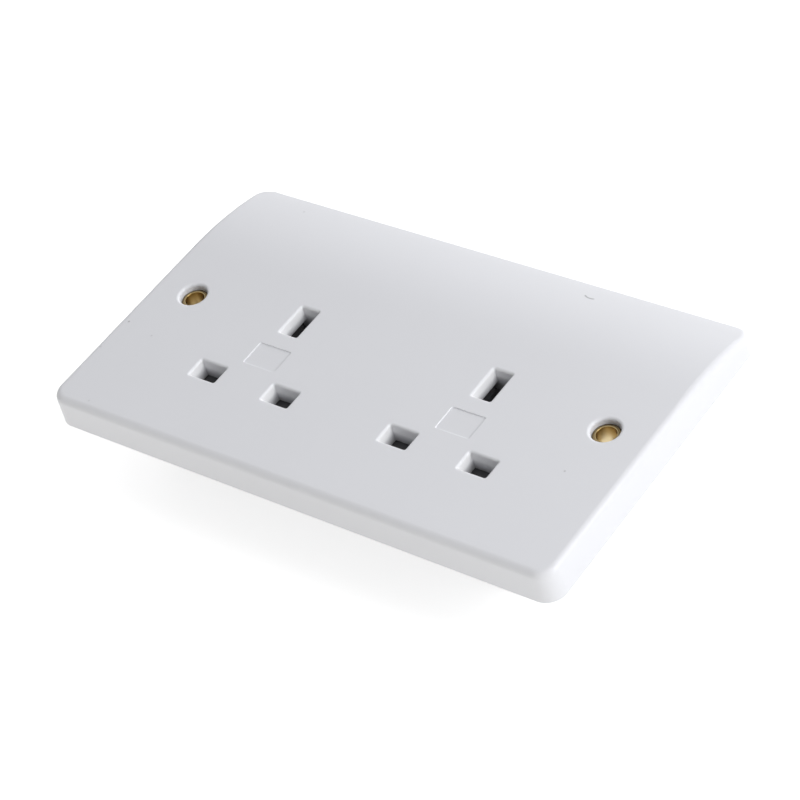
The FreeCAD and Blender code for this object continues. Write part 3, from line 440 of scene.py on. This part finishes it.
def painted_well_light_and_shade(tree, where, white):
    """Colour down the pin apertures: painted light, paler near their thin lips, then painted shade, darker
    down the walls.
    """
    x, y, z = split(tree, where)
    apertures = maths(tree, "MULTIPLY", within(tree, x, *WELLS_X), within(tree, y, *WELLS_Y))
    below_face = spread(tree, z, 0, 1, *LIP_TOP)
    above_depth = spread(tree, z, 1, 0, *LIP_BOTTOM)
    # painted light: paler near the aperture mouths
    painted_lip_light = maths(tree, "MULTIPLY", maths(tree, "MULTIPLY", below_face, above_depth), apertures)
    # painted shade: darker down the aperture walls
    painted_well_shade = maths(tree, "MULTIPLY", spread(tree, z, 0, 1, WELL_TOP, WELL_BOTTOM), apertures)
    return blend(tree, painted_well_shade, blend(tree, painted_lip_light, white, LIP_PAINTED_LIGHT), WELL_PAINTED_SHADE)


def plate_finish():
    """Cool white moulding, clean and satin, with painted light and shade down its pin apertures, a few
    specks of dust and one fine hair on its roll-off.
    """
    material, tree, shader, where = blank_material("plate_white", 0)
    tone = spread(tree, noise(tree, where, PLATE_TONE_SCALE, PLATE_TONE_DETAIL), 0, 1)
    # painted light near the aperture mouths and painted shade down their walls
    white = painted_well_light_and_shade(tree, where, blend(tree, tone, *PLATE_TONES))
    marks = near_arc(tree, where, HAIR_CENTRE, HAIR_R, *HAIR_SPAN, HAIR_WIDTH)
    for *point, strength in SPECKS:
        speck = maths(tree, "MULTIPLY", near_point(tree, where, point, SPECK_R), strength)
        marks = maths(tree, "MAXIMUM", marks, speck)
    tree.links.new(blend(tree, marks, white, SPECK_COLOUR), shader.inputs["Base Color"])
    rough = spread(tree, noise(tree, where, PLATE_ROUGH_SCALE, ROUGH_DETAIL), *PLATE_ROUGHNESS)
    tree.links.new(rough, shader.inputs["Roughness"])
    add_grain(tree, shader, where, PLATE_GRAIN_SCALE, PLATE_GRAIN_HEIGHT)
    return material


def eyelet_finish():
    """Dull brass: painted shade on the flange, for the shaded counterbore wall it reflects; a painted
    highlight along the bead, which is also smoother; painted light, paler towards the foot of the bore.
    """
    material, tree, shader, where = blank_material("eyelet_brass", 1)
    x, y, z = split(tree, where)
    across = maths(tree, "SUBTRACT", maths(tree, "ABSOLUTE", x), EYELET_X)
    along = maths(tree, "SUBTRACT", y, EYELET_Y)
    radius = reach(tree, across, along)
    tone = spread(tree, noise(tree, where, EYELET_TONE_SCALE, TONE_DETAIL), 0, 1)
    brass = blend(tree, tone, *BORE_TONES)
    # painted light: paler towards the foot of the bore
    brass = blend(tree, spread(tree, z, 0, 1, BORE_TOP, BORE_FOOT), brass, BORE_FOOT_PAINTED_LIGHT)
    # painted shade: the flange darker, for the shaded counterbore wall it reflects
    painted_flange_shade = spread(tree, radius, 0, 1, FLANGE_IN_R, FLANGE_OUT_R)
    brass = blend(tree, painted_flange_shade, brass, FLANGE_PAINTED_SHADE)
    # painted highlight: a paler ring along the bead's crest; the same ring is also made smoother
    off_bead = maths(tree, "ABSOLUTE", maths(tree, "SUBTRACT", radius, BEAD_R))
    bead_highlight_and_polish = spread(tree, off_bead, 1, 0, BEAD_CORE, BEAD_WIDTH)
    tree.links.new(blend(tree, bead_highlight_and_polish, brass, BEAD_PAINTED_HIGHLIGHT), shader.inputs["Base Color"])
    rough = spread(tree, noise(tree, where, EYELET_ROUGH_SCALE, ROUGH_DETAIL), *EYELET_ROUGHNESS)
    polish = maths(tree, "MULTIPLY", bead_highlight_and_polish, BEAD_SHINE)
    tree.links.new(maths(tree, "SUBTRACT", rough, polish), shader.inputs["Roughness"])
    add_grain(tree, shader, where, EYELET_GRAIN_SCALE, EYELET_GRAIN_HEIGHT)
    return material


FINISHES = {"plate": plate_finish(), "eyelet": eyelet_finish()}
for slot_name, row in PLAIN_FINISHES.items():
    FINISHES[slot_name] = finish(*row)


def dress_nodes():
    """The finish of its slot on every piece of the part."""
    for part in frame["record"]["subparts"]:
        for slot in frame["nodes"][part["node"]].material_slots:
            slot.material = FINISHES[part["material_slot"]]


def add_mark(name, letter, place):
    """Raised letter on a wall that faces +Y.

    The flat outline of the letter is given a thickness of its rise and its sink, turned from lying flat to
    facing +Y, and moved until it stands off the wall by its rise.
    """
    outline = bpy.data.curves.new(name + "_outline", "FONT")
    outline.body = letter
    outline.size = MARK_HEIGHT
    outline.align_x = "CENTER"
    outline.align_y = "CENTER"
    outline.extrude = (MARK_RISE + MARK_SINK) / 2
    flat = bpy.data.objects.new(name + "_flat", outline)
    bpy.context.scene.collection.objects.link(flat)
    mesh = bpy.data.meshes.new_from_object(flat)
    mesh.name = name
    bpy.data.objects.remove(flat)
    bpy.data.curves.remove(outline)
    middle = Vector(place) + Vector((0, (MARK_RISE - MARK_SINK) / 2, 0))
    turn = Matrix(((-1, 0, 0), (0, 0, 1), (0, 1, 0))).to_4x4()
    mesh.transform(Matrix.Translation(middle) @ turn)
    mark = bpy.data.objects.new(name, mesh)
    bpy.context.scene.collection.objects.link(mark)
    mesh.materials.clear()
    mesh.materials.append(FINISHES["housing"])
    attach(mark, "socket_body")


def coil_points(low, high):
    """Round wire along a helix about a line along Y that fills the box from low to high, as rows of points.

    The middle of the wire is at x + r cos a, y + rise a, z - r sin a, for a from 0 to all the turns. The
    surface stands off it by the wire's radius, times cos b away from the axis plus sin b along the helix's
    binormal, for b once round the wire.
    """
    middle = (low + high) / 2
    coil_r = (high[0] - low[0]) / 2 - WIRE_R
    turned = 2 * pi * COIL_TURNS
    rise = (high[1] - low[1] - 2 * WIRE_R) / turned
    a = np.linspace(0, turned, COIL_TURNS * COIL_STEPS + 1)[:, None]
    b = np.linspace(0, 2 * pi, WIRE_SIDES, endpoint=False)[None, :, None]
    level = np.zeros_like(a)
    outwards = np.stack([np.cos(a), level, -np.sin(a)], axis=-1)
    slope = np.hypot(coil_r, rise)
    binormal = np.stack([-rise * np.sin(a), level - coil_r, -rise * np.cos(a)], axis=-1) / slope
    start = np.array([middle[0], low[1] + WIRE_R, middle[2]])
    line = start + coil_r * outwards + np.stack([level, rise * a, level], axis=-1)
    return line + WIRE_R * (np.cos(b) * outwards + np.sin(b) * binormal)


def add_coil(side):
    """Spring between its post and its shutter, closed at both ends."""
    low, high = (np.array(corner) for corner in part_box("shutter_spring_" + side))
    points = coil_points(low, high)
    place = np.arange(points.shape[0] * points.shape[1]).reshape(points.shape[:2])
    beside = np.roll(place, -1, axis=1)
    walls = np.stack([place[:-1], beside[:-1], beside[1:], place[1:]], axis=-1).reshape(-1, 4)
    ends = [place[0][::-1].tolist(), place[-1].tolist()]
    mesh = bpy.data.meshes.new("coil_" + side)
    mesh.from_pydata(points.reshape(-1, 3).tolist(), [], walls.tolist() + ends)
    mesh.shade_smooth()
    mesh.materials.append(FINISHES["spring_wire"])
    coil = bpy.data.objects.new("coil_" + side, mesh)
    bpy.context.scene.collection.objects.link(coil)
    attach(coil, "socket_body")
    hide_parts("shutter_spring_" + side)
    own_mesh(coil)


add_camera()
add_world()
add_floor()
for lamp in LAMPS:
    add_lamp(*lamp)
for panel in PANELS:
    add_panel(*panel)
dress_nodes()
for mark in MARKS:
    add_mark(*mark)
for side in ("left", "right"):
    add_coil(side)

view = bpy.context.scene.view_settings
view.view_transform = "Standard"
